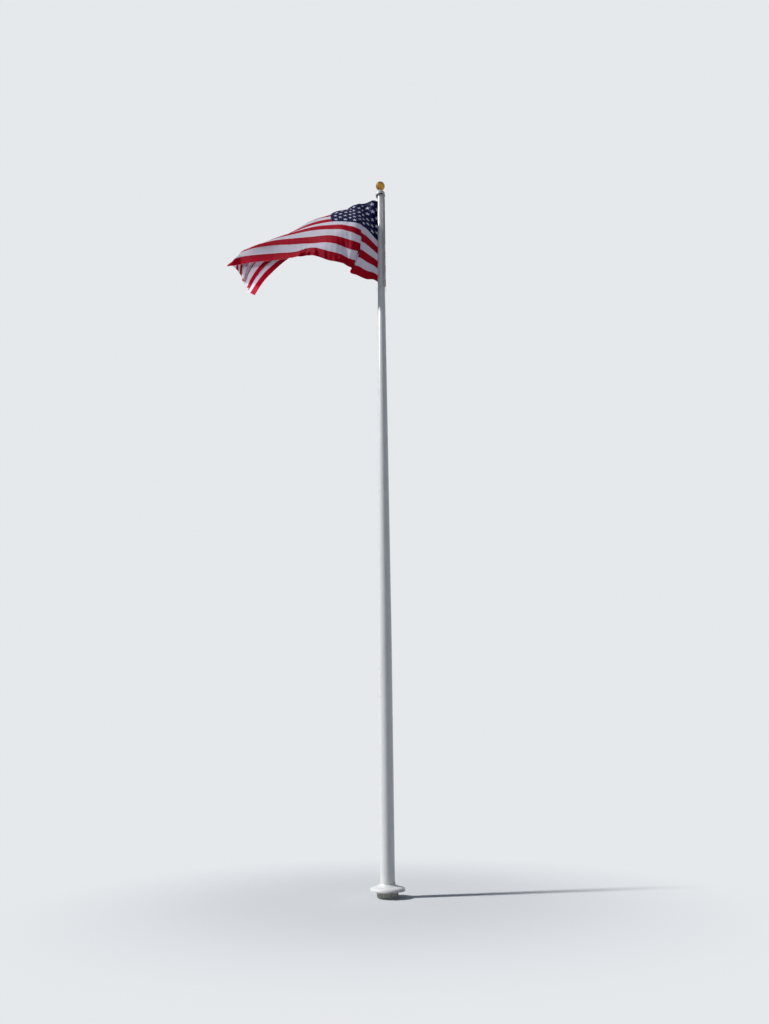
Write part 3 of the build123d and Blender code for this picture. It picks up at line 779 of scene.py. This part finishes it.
def makeStarField():
    # nine rows of six and five stars, measured in half spacings from the canton's corner
    group, takes, gives = newGroup(
        "starField",
        [("Across", "Float", 0.0), ("Down", "Float", 0.0), ("Shift", "Float", 0.0),
         ("Wide", "Float", 0.1), ("High", "Float", 0.1), ("Radius", "Float", 0.05)],
        [("Inside", "Float")],
    )
    x = times(group, cellPlace(group, takes["Across"], takes["Shift"]), takes["Wide"])
    y = times(group, cellPlace(group, takes["Down"], takes["Shift"]), takes["High"])
    between = math.radians(72)  # from one point of a star to the next
    turn = calc(group, "ARCTAN2", x, times(group, y, -1.0))
    turn = calc(group, "FLOORED_MODULO", add(group, turn, between / 2), between)
    turn = calc(group, "ABSOLUTE", minus(group, turn, between / 2))
    reach = calc(group, "SQRT", add(group, times(group, x, x), times(group, y, y)))
    side = times(group, reach, calc(group, "COSINE", minus(group, turn, between)))
    edge = times(group, takes["Radius"], math.cos(between))
    link(group, under(group, side, edge), gives["Inside"])
    return group


stitching = {"perMetre": 280.0, "beside": 0.003, "edge": (0.0003, 0.0008), "dash": (0.3, 0.4)}


def makeStitchRow():
    # thread dashes on both sides of a line: 1 on the thread, 0 beside it
    group, takes, gives = newGroup(
        "stitchRow",
        [("Beside", "Float", 0.0), ("Along", "Float", 0.0),
         ("Offset", "Float", stitching["beside"])],
        [("Thread", "Float")],
    )
    off = minus(group, calc(group, "ABSOLUTE", takes["Beside"]), takes["Offset"])
    near = mapRange(group, calc(group, "ABSOLUTE", off), *stitching["edge"], 1.0, 0.0)
    place = calc(group, "FRACT", times(group, takes["Along"], stitching["perMetre"]))
    middle = calc(group, "ABSOLUTE", minus(group, place, 0.5))
    dash = mapRange(group, middle, *stitching["dash"], 1.0, 0.0)
    link(group, times(group, near, dash), gives["Thread"])
    return group


starField = makeStarField()
stitchRow = makeStitchRow()


def inBand(tree, value, low, high):
    return times(tree, over(tree, value, low), under(tree, value, high))


clothLook = {
    "thread": (0.70, 0.69, 0.72), "threadShare": 0.6, "hemMiddle": 0.0125, "hemReach": 0.010,
    "cloud": (2.2, 3, 0.6), "cloudCut": (0.3, 0.7), "cloudTint": (0.93, 1.03),
    "weave": 320, "weaveHeight": 0.05, "threadHeight": 0.4,
    "puckers": (30.0, 3, 0.5), "puckerCut": (0.3, 0.7), "bump": (0.35, 0.002),
    "rough": (0.6, 0.72), "specular": 0.12, "through": 0.46,
}


def flagPattern(tree, across, down, stripe, cantonRows):
    # stripes, canton and stars, as they are cut
    pale = calc(tree, "FLOORED_MODULO", stripe, 2.0)
    striped = colorMix(tree, pale, flag["red"], flag["shadeTintedWhite"])
    cellsAcross, cellsDown = flag["cellsAcross"], flag["cellsDown"]
    wide = flag["cantonFly"] / cellsAcross
    high = flag["hoist"] * flag["cantonStripes"] / flag["stripes"] / cellsDown
    x, y = calc(tree, "DIVIDE", across, wide), calc(tree, "DIVIDE", down, high)
    radius = flag["starWidth"] * flag["hoist"] / 2
    given = dict(Across=x, Down=y, Wide=wide, High=high, Radius=radius)
    sixes = useGroup(tree, starField, Shift=0.0, **given)["Inside"]
    fives = useGroup(tree, starField, Shift=1.0, **given)["Inside"]
    insideX = inBand(tree, x, 1.0, cellsAcross - 1.0)
    insideY = inBand(tree, y, 1.0, cellsDown - 1.0)
    inner = times(tree, insideX, insideY)
    stars = larger(tree, sixes, times(tree, fives, inner))
    starred = colorMix(tree, stars, flag["navy"], flag["shadeTintedWhite"])
    inCanton = times(tree, under(tree, across, flag["cantonFly"]), cantonRows)
    return colorMix(tree, inCanton, striped, starred)


def flagThread(tree, across, down, stripe, cantonRows):
    # stitches along the seams, down the canton's edge and down the fly's hem
    band = flag["hoist"] / flag["stripes"]
    beside = calc(tree, "MODULO", add(tree, down, band / 2), band)
    beside = minus(tree, beside, band / 2)
    rows = useGroup(tree, stitchRow, Beside=beside, Along=across)["Thread"]
    outside = over(tree, across, flag["cantonFly"])
    below = over(tree, stripe, flag["cantonStripes"] - 1.5)
    rows = times(tree, rows, larger(tree, outside, below))
    edge = minus(tree, across, flag["cantonFly"])
    upright = useGroup(tree, stitchRow, Beside=edge, Along=down)["Thread"]
    upright = times(tree, upright, cantonRows)
    hem = minus(tree, across, clothLength - clothLook["hemMiddle"])
    reach = clothLook["hemReach"]
    hemRow = useGroup(tree, stitchRow, Beside=hem, Along=down, Offset=reach)["Thread"]
    return larger(tree, larger(tree, rows, upright), hemRow)


def makeFlagCloth():
    # dyed nylon: stripes, canton and stars follow the cut, with seams, stitching and a weave
    material, tree, shader = newMaterial("flag_nylon")
    uv = addNode(tree, "UVMap")
    uv.uv_map = "cut"
    cut = uv.outputs[0]
    parts = splitVector(tree, cut)
    across = parts["X"]
    down = minus(tree, flag["hoist"], parts["Y"])
    stripe = calc(tree, "FLOOR", times(tree, down, flag["stripes"] / flag["hoist"]))
    cantonRows = under(tree, stripe, flag["cantonStripes"] - 0.5)
    shown = flagPattern(tree, across, down, stripe, cantonRows)
    thread = flagThread(tree, across, down, stripe, cantonRows)
    sewnOver = times(tree, thread, clothLook["threadShare"])
    shown = colorMix(tree, sewnOver, shown, clothLook["thread"])
    clouds = noiseTexture(tree, cut, *clothLook["cloud"])
    clouds = mapRange(tree, clouds, *clothLook["cloudCut"], *clothLook["cloudTint"])
    tint = addNode(tree, "VectorMath")
    tint.operation = "SCALE"
    link(tree, shown, tint.inputs[0])
    link(tree, clouds, tint.inputs["Scale"])
    link(tree, tint.outputs[0], shader.inputs["Base Color"])
    warp = waveBands(tree, cut, "X", clothLook["weave"])
    weft = waveBands(tree, cut, "Y", clothLook["weave"])
    weave = times(tree, add(tree, warp, weft), clothLook["weaveHeight"])
    raised = times(tree, thread, clothLook["threadHeight"])
    puckers = noiseTexture(tree, cut, *clothLook["puckers"])
    height = add(tree, add(tree, weave, raised), puckers)
    addBump(tree, shader, height, *clothLook["bump"])
    rough = mapRange(tree, puckers, *clothLook["puckerCut"], *clothLook["rough"])
    link(tree, rough, shader.inputs["Roughness"])
    shader.inputs["Specular IOR Level"].default_value = clothLook["specular"]
    through = addNode(tree, "BsdfTranslucent")
    link(tree, tint.outputs[0], through.inputs["Color"])
    whole = shaderMix(tree, clothLook["through"], shader.outputs[0], through.outputs[0])
    link(tree, whole, tree.nodes["Material Output"].inputs["Surface"])
    return material


materials["flag_nylon"] = makeFlagCloth()
cloth = makeCloth()
cloth.data.materials.append(materials["flag_nylon"])
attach(cloth, "truck")
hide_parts("flag")


# small modelled pieces, in metres and degrees

def settled(made, name):
    # its place goes into its mesh
    made.name = name
    bpy.ops.object.transform_apply(location=True, rotation=True, scale=True)
    return made


def editPart(made, kind, test):
    # edit mode, with the faces or edges that pass the test selected
    bpy.context.view_layer.objects.active = made
    made.select_set(True)
    bpy.ops.object.mode_set(mode="EDIT")
    bpy.ops.mesh.select_mode(type=kind)
    bpy.ops.mesh.select_all(action="DESELECT")
    bpy.ops.object.mode_set(mode="OBJECT")
    mesh = made.data
    if kind == "FACE":
        for face in mesh.polygons:
            face.select = test(face.center, face.normal)
    else:
        for edge in mesh.edges:
            edge.select = test(*(mesh.vertices[k].co for k in edge.vertices))
    bpy.ops.object.mode_set(mode="EDIT")


def leaveEdit():
    if bpy.context.mode != "OBJECT":
        bpy.ops.object.mode_set(mode="OBJECT")


def finishPart(made, smoothAngle=40):
    leaveEdit()
    deselectAll()
    made.select_set(True)
    bpy.context.view_layer.objects.active = made
    bpy.ops.object.shade_smooth_by_angle(angle=math.radians(smoothAngle))
    made.select_set(False)
    return made


def flatRadius(point):
    return math.hypot(point.x, point.y)


def dress(made, body, slotName, standsFor=None):
    made.data.materials.clear()
    made.data.materials.append(materials[slotName])
    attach(made, body)
    if standsFor:
        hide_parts(standsFor)


def moveVerts(made, shift):
    # moves each point to where shift(point) says
    leaveEdit()
    mesh = made.data
    flat = np.empty(len(mesh.vertices) * 3)
    mesh.vertices.foreach_get("co", flat)
    points = flat.reshape(-1, 3)
    for k, point in enumerate(points):
        points[k] = shift(Vector(point))
    mesh.vertices.foreach_set("co", points.ravel())
    mesh.update()


stub = {
    "radius": 0.143, "height": 0.098, "bore": 0.1163, "floor": 0.020, "round": 0.012,
    "sides": 240, "levels": 26, "rings": 7, "cover": 0.004, "undercut": 0.016, "fade": 0.02,
    "rough": 0.011, "lumpScale": 24, "lumpDrop": 0.004, "pits": 0.009, "pitScale": 150,
    "pitCut": 0.2, "chips": 0.030, "chipScale": 34, "chipCut": 0.1, "chipPlace": (7, 3, 1),
    "drawnIn": 0.036, "drawnScale": 2.5,
}


def stubShift(point):
    # lumps, pits, chips towards the upper edge, and the side drawn in towards the ground
    r, h, bore = stub["radius"], stub["height"], stub["bore"]
    radius = flatRadius(point)
    if radius < bore + 0.001:  # the socket's wall stays as it is
        return point
    side = Vector((point.x, point.y, 0)) / radius
    high = max(0, point.z - h / 2) / (h / 2)
    low = 1 - point.z / h
    lumps = 0.5 + 0.5 * noise.fractal(point * stub["lumpScale"], 1.0, 2.0, 4)
    pits = max(0, noise.noise(point * stub["pitScale"]) - stub["pitCut"]) * 2
    chips = noise.noise(point * stub["chipScale"] + Vector(stub["chipPlace"]))
    chips = max(0, chips - stub["chipCut"]) * high
    edge = max(0, point.z - h + stub["round"]) / stub["round"]
    share = min(1, (radius - bore) / stub["fade"])
    back = stub["rough"] * min(1, max(0, lumps)) + stub["pits"] * pits + stub["chips"] * chips
    back += 0.5 * stub["round"] * edge * edge
    back += stub["drawnIn"] * low * (0.6 + 0.4 * noise.noise(side * stub["drawnScale"]))
    # some concrete stays outside the socket
    room = r - bore - stub["cover"] + stub["undercut"] * max(0, 1 - point.z / stub["floor"])
    back = min(back, room)
    drop = (stub["lumpDrop"] * lumps + 0.5 * stub["chips"] * chips) * high
    return point - side * back * share - Vector((0, 0, drop * share))


def makeStub():
    # broken concrete neck with a socket for the sleeve
    r, h, bore = stub["radius"], stub["height"], stub["bore"]
    deep, wall = stub["floor"] - h, r - bore
    place = (0, 0, h / 2)
    bpy.ops.mesh.primitive_cylinder_add(vertices=stub["sides"], radius=r, depth=h, location=place)
    made = settled(bpy.context.object, "concreteNeck")
    editPart(made, "FACE", lambda centre, normal: normal.z > 0.9)
    bpy.ops.mesh.inset(thickness=wall)
    bpy.ops.mesh.extrude_region_move(TRANSFORM_OT_translate={"value": (0, 0, deep)})

    def isUpright(a, b):
        return abs(a.z - b.z) > h / 2 and flatRadius(a) > (r + bore) / 2

    def isTopSpoke(a, b):
        return min(a.z, b.z) > h * 0.99 and abs(flatRadius(a) - flatRadius(b)) > wall / 2

    editPart(made, "EDGE", isUpright)
    bpy.ops.mesh.subdivide(number_cuts=stub["levels"])
    editPart(made, "EDGE", isTopSpoke)
    bpy.ops.mesh.subdivide(number_cuts=stub["rings"])
    moveVerts(made, stubShift)
    finishPart(made, 50)
    dress(made, "pole", "footing_concrete", "footing_stub")


seal = {"radius": 0.0916, "half": 0.0027, "inner": 0.0893, "height": 0.1603, "stretch": 1.1,
        "wave": 0.0007, "waveScale": 45}


def sealShift(point):
    # uneven outside, pressed against the shaft inside
    radius = flatRadius(point)
    outside = max(0, radius - seal["inner"]) / seal["half"]
    wave = seal["wave"] * noise.noise(point * seal["waveScale"]) * outside
    scale = max(seal["inner"], radius + wave) / radius
    height = seal["height"] + (point.z - seal["height"]) * seal["stretch"]
    return Vector((point.x * scale, point.y * scale, height))


def addRing(radius, half, height, around, across):
    bpy.ops.mesh.primitive_torus_add(major_radius=radius, minor_radius=half,
                                     major_segments=around, minor_segments=across,
                                     location=(0, 0, height))
    return bpy.context.object


def makeSeal():
    # tooled bead of sealant
    made = addRing(seal["radius"], seal["half"], seal["height"], 180, 14)
    made = settled(made, "sealBead")
    moveVerts(made, sealShift)
    finishPart(made, 60)
    dress(made, "pole", "sealant", "collar_seal")


def copies(name, template, places):
    # one object out of many placed copies of a template
    parts = []
    for place in places:
        mesh = template.data.copy()
        mesh.transform(place)
        thing = bpy.data.objects.new(name, mesh)
        scene.collection.objects.link(thing)
        parts.append(thing)
    bpy.data.objects.remove(template)
    deselectAll()
    with bpy.context.temp_override(active_object=parts[0], selected_objects=parts,
                                   selected_editable_objects=parts):
        bpy.ops.object.join()
    return parts[0]


def radial(azimuth, radius, height):
    # a frame on the pole's side: z out of the surface, x along it, y up
    angle = math.radians(azimuth)
    out = Vector((math.sin(angle), -math.cos(angle), 0))
    side = Vector((math.cos(angle), math.sin(angle), 0))
    turn = Matrix((side, Vector((0, 0, 1)), out)).transposed().to_4x4()
    return Matrix.Translation(out * radius + Vector((0, 0, height))) @ turn


screw = {"radius": 0.0042, "proud": 0.0016, "shank": 0.001, "round": 0.0008, "slot": 0.0009,
         "slotDepth": 0.0008, "sides": 36}


def makeScrew():
    # slotted pan head, its seat at the origin
    r, proud, shank = screw["radius"], screw["proud"], screw["shank"]
    deselectAll()
    bpy.ops.mesh.primitive_cylinder_add(vertices=screw["sides"], radius=r, depth=proud + shank,
                                        location=(0, 0, (proud - shank) / 2))
    made = settled(bpy.context.object, "screwHead")
    editPart(made, "FACE", lambda centre, normal: normal.z > 0.9)
    bpy.ops.mesh.bevel(offset=screw["round"], segments=4, affect="EDGES")
    finishPart(made)
    size = (4 * r, screw["slot"], 2 * screw["slotDepth"])
    bpy.ops.mesh.primitive_cube_add(size=1, location=(0, 0, proud), scale=size)
    cutter = bpy.context.object
    cut = made.modifiers.new("slot", "BOOLEAN")
    cut.operation = "DIFFERENCE"
    cut.object = cutter
    bpy.context.view_layer.objects.active = made
    bpy.ops.object.modifier_apply(modifier="slot")
    bpy.data.objects.remove(cutter)
    return made


door = {
    "height": 1.250, "face": 0.0915, "azimuth": 31.6, "screwRise": 0.088, "slotTurns": (37, 61),
    "hingeHalf": 0.060, "hingeX": -0.042, "hingeY": 0.0829, "knuckles": 5, "knuckle": 0.0051,
    "knuckleSides": 40, "gap": 0.0009, "edge": 0.0005,
}


def makeDoorScrews():
    # one in each corner of the door, with its slot at a turn of its own
    places = []
    for side in (-1, 1):
        for rise in (-1, 1):
            height = door["height"] + rise * door["screwRise"]
            slot = math.radians(door["slotTurns"][0] * side + door["slotTurns"][1] * rise)
            seat = radial(180 + side * door["azimuth"], door["face"], height)
            places.append(seat @ Matrix.Rotation(slot, 4, "Z"))
    dress(copies("doorScrews", makeScrew(), places), "pole", "lock_steel")


def makeKnuckles():
    length = 2 * door["hingeHalf"] / door["knuckles"]
    deselectAll()
    bpy.ops.mesh.primitive_cylinder_add(vertices=door["knuckleSides"], radius=door["knuckle"],
                                        depth=length - door["gap"])
    knuckle = bpy.context.object
    editPart(knuckle, "FACE", lambda centre, normal: abs(normal.z) > 0.9)
    bpy.ops.mesh.bevel(offset=door["edge"], segments=2, affect="EDGES")
    finishPart(knuckle)
    low = door["height"] - door["hingeHalf"] + length / 2
    places = []
    for k in range(door["knuckles"]):
        places.append(Matrix.Translation((door["hingeX"], door["hingeY"], low + k * length)))
    dress(copies("hingeKnuckles", knuckle, places), "pole", "lock_steel")


header = {"radius": 0.0755, "start": 29.16, "end": 58.58, "edge": 0.0035, "low": 8.737,
          "high": 10.554, "pitch": 0.0052, "stitch": 0.0038, "thread": 0.0005}


def makeHeaderStitches():
    # two rows of lock stitch down the canvas strip
    size = (header["thread"], header["stitch"] / 2, header["thread"])
    deselectAll()
    bpy.ops.mesh.primitive_uv_sphere_add(segments=8, ring_count=5, radius=1, scale=size)
    stitch = settled(bpy.context.object, "stitch")
    bpy.ops.object.shade_smooth()
    stitch.select_set(False)
    inset = math.degrees(header["edge"] / header["radius"])
    places = []
    for azimuth in (header["start"] + inset, header["end"] - inset):
        for k in range(int((header["high"] - header["low"]) / header["pitch"])):
            height = header["low"] + (k + 0.5) * header["pitch"]
            places.append(radial(azimuth, header["radius"], height))
    dress(copies("headerStitches", stitch, places), "truck", "header_canvas")


capScrew = {"radius": 0.0778, "height": 10.642, "azimuths": (100, 220, 340)}


def makeCapScrews():
    places = []
    for azimuth in capScrew["azimuths"]:
        seat = radial(azimuth, capScrew["radius"], capScrew["height"])
        slot = Matrix.Rotation(azimuth, 4, "Z")  # any turn will do for a slot
        places.append(seat @ slot)
    dress(copies("capScrews", makeScrew(), places), "truck", "bolt_steel")


ballSeam = {"half": 0.0009, "sunk": 0.0002}


def makeBallSeam():
    # the rolled joint of the ball's two halves
    low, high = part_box("ball_finial")
    radius = (high[0] - low[0]) / 2
    made = addRing(radius - ballSeam["sunk"], ballSeam["half"], high[2] - radius, 160, 10)
    dress(finishPart(settled(made, "ballSeam"), 60), "truck", "gold_anodised")


deselectAll()
makeStub()
makeSeal()
makeDoorScrews()
makeKnuckles()
makeHeaderStitches()
makeCapScrews()
makeBallSeam()
print("small pieces made")


# CAD nodes that keep their shape

slotOf = {part["node"]: part["material_slot"] for part in frame["record"]["subparts"]}
for name, thing in nodes.items():
    for place in thing.material_slots:
        place.material = materials[slotOf[name]]
print("materials set on the CAD nodes")
